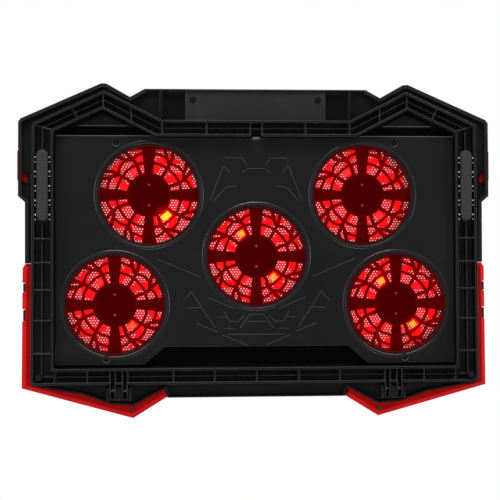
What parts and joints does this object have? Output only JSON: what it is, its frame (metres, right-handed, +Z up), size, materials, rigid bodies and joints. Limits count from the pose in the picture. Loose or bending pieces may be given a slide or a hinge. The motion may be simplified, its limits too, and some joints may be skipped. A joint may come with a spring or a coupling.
{
  "type": "laptop cooling pad",
  "caption": "Laptop cooling pad with lit fans behind grilles, a perforated metal deck, a fold-out tilt stand, flip-up stoppers and red corner trims.",
  "frame": {"origin": "centre of the object's bottom, on the surface that it stands on", "axes": "+X along the width, +Y towards the back edge, +Z up"},
  "size_m": [0.4028, 0.2837, 0.03],
  "materials": {
    "black_plastic": "fine-textured black ABS",
    "cover_plastic": "dark grey ABS, slightly lighter than the casing",
    "panel_steel": "perforated sheet, black powder coat",
    "red_gloss": "glossy red ABS",
    "foot_rubber": "soft grey rubber",
    "dark_screw": "black zinc-plated steel",
    "bright_steel": "bright steel",
    "board": "green solder mask with lamps",
    "motor": "motor core and base",
    "red_blade": "translucent red polycarbonate",
    "wire": "black cable sheath"
  },
  "bodies": {
    "housing": {"bottom_casing": "black_plastic", "top_shell": "black_plastic", "control_cover": "cover_plastic", "mesh_panel": "panel_steel", "corner_trim_left": "red_gloss", "corner_trim_right": "red_gloss", "side_accent_left": "red_gloss", "side_accent_right": "red_gloss", "casing_screw_1": "dark_screw", "casing_screw_2": "dark_screw", "casing_screw_3": "dark_screw", "casing_screw_4": "dark_screw", "cover_screw_1": "dark_screw", "cover_screw_2": "dark_screw", "trim_screw_left": "dark_screw", "trim_screw_right": "dark_screw", "hinge_pin_left": "bright_steel", "hinge_pin_right": "bright_steel", "stopper_pin_left": "bright_steel", "stopper_pin_right": "bright_steel", "usb_socket_left": "bright_steel", "usb_socket_right": "bright_steel", "control_board": "board", "led_board_1": "board", "led_board_2": "board", "led_board_3": "board", "led_board_4": "board", "led_board_5": "board", "fan_stator_1": "motor", "fan_stator_2": "motor", "fan_stator_3": "motor", "fan_stator_4": "motor", "fan_stator_5": "motor", "fan_wire_1": "wire", "fan_wire_2": "wire", "fan_wire_3": "wire", "fan_wire_4": "wire", "fan_wire_5": "wire"},
    "stand": {"stand_frame": "black_plastic", "rubber_foot_left": "foot_rubber", "rubber_foot_right": "foot_rubber", "front_glide_left": "foot_rubber", "front_glide_right": "foot_rubber"},
    "stopper_left": {"laptop_stopper_left": "black_plastic"},
    "stopper_right": {"laptop_stopper_right": "black_plastic"},
    "dial": {"speed_dial": "black_plastic"},
    "button": {"light_button": "black_plastic"},
    "rotor_1": {"fan_rotor_1": "red_blade"},
    "rotor_2": {"fan_rotor_2": "red_blade"},
    "rotor_3": {"fan_rotor_3": "red_blade"},
    "rotor_4": {"fan_rotor_4": "red_blade"},
    "rotor_5": {"fan_rotor_5": "red_blade"}
  },
  "joints": [
    {"name": "stand_tilt", "type": "hinge", "parent": "housing", "child": "stand", "pos_m": [0, -0.1176, 0.007], "axis": [-1, 0, 0], "range_deg": [0, 16]},
    {"name": "fan_spin_1", "type": "hinge", "parent": "housing", "child": "rotor_1", "pos_m": [0.0906, 0.0468, 0.0115], "axis": [0, 0, 1], "continuous": true},
    {"name": "fan_spin_2", "type": "hinge", "parent": "housing", "child": "rotor_2", "pos_m": [-0.0906, 0.0468, 0.0115], "axis": [0, 0, 1], "continuous": true},
    {"name": "fan_spin_3", "type": "hinge", "parent": "housing", "child": "rotor_3", "pos_m": [0, -0.0052, 0.0115], "axis": [0, 0, 1], "continuous": true},
    {"name": "fan_spin_4", "type": "hinge", "parent": "housing", "child": "rotor_4", "pos_m": [0.1194, -0.0457, 0.0115], "axis": [0, 0, 1], "continuous": true},
    {"name": "fan_spin_5", "type": "hinge", "parent": "housing", "child": "rotor_5", "pos_m": [-0.1194, -0.0457, 0.0115], "axis": [0, 0, 1], "continuous": true},
    {"name": "stopper_flip_left", "type": "hinge", "parent": "housing", "child": "stopper_left", "pos_m": [0.046, -0.114, 0.0262], "axis": [1, 0, 0], "range_deg": [0, 90]},
    {"name": "stopper_flip_right", "type": "hinge", "parent": "housing", "child": "stopper_right", "pos_m": [-0.046, -0.114, 0.0262], "axis": [1, 0, 0], "range_deg": [0, 90]},
    {"name": "dial_turn", "type": "hinge", "parent": "housing", "child": "dial", "pos_m": [0.045, 0.131, 0.0225], "axis": [0, 0, 1], "range_deg": [0, 270]},
    {"name": "button_press", "type": "slide", "parent": "housing", "child": "button", "axis": [0, -1, 0], "range_m": [0, 0.001], "stiffness_N_per_m": 600, "springref_m": -0.0005}
  ]
}
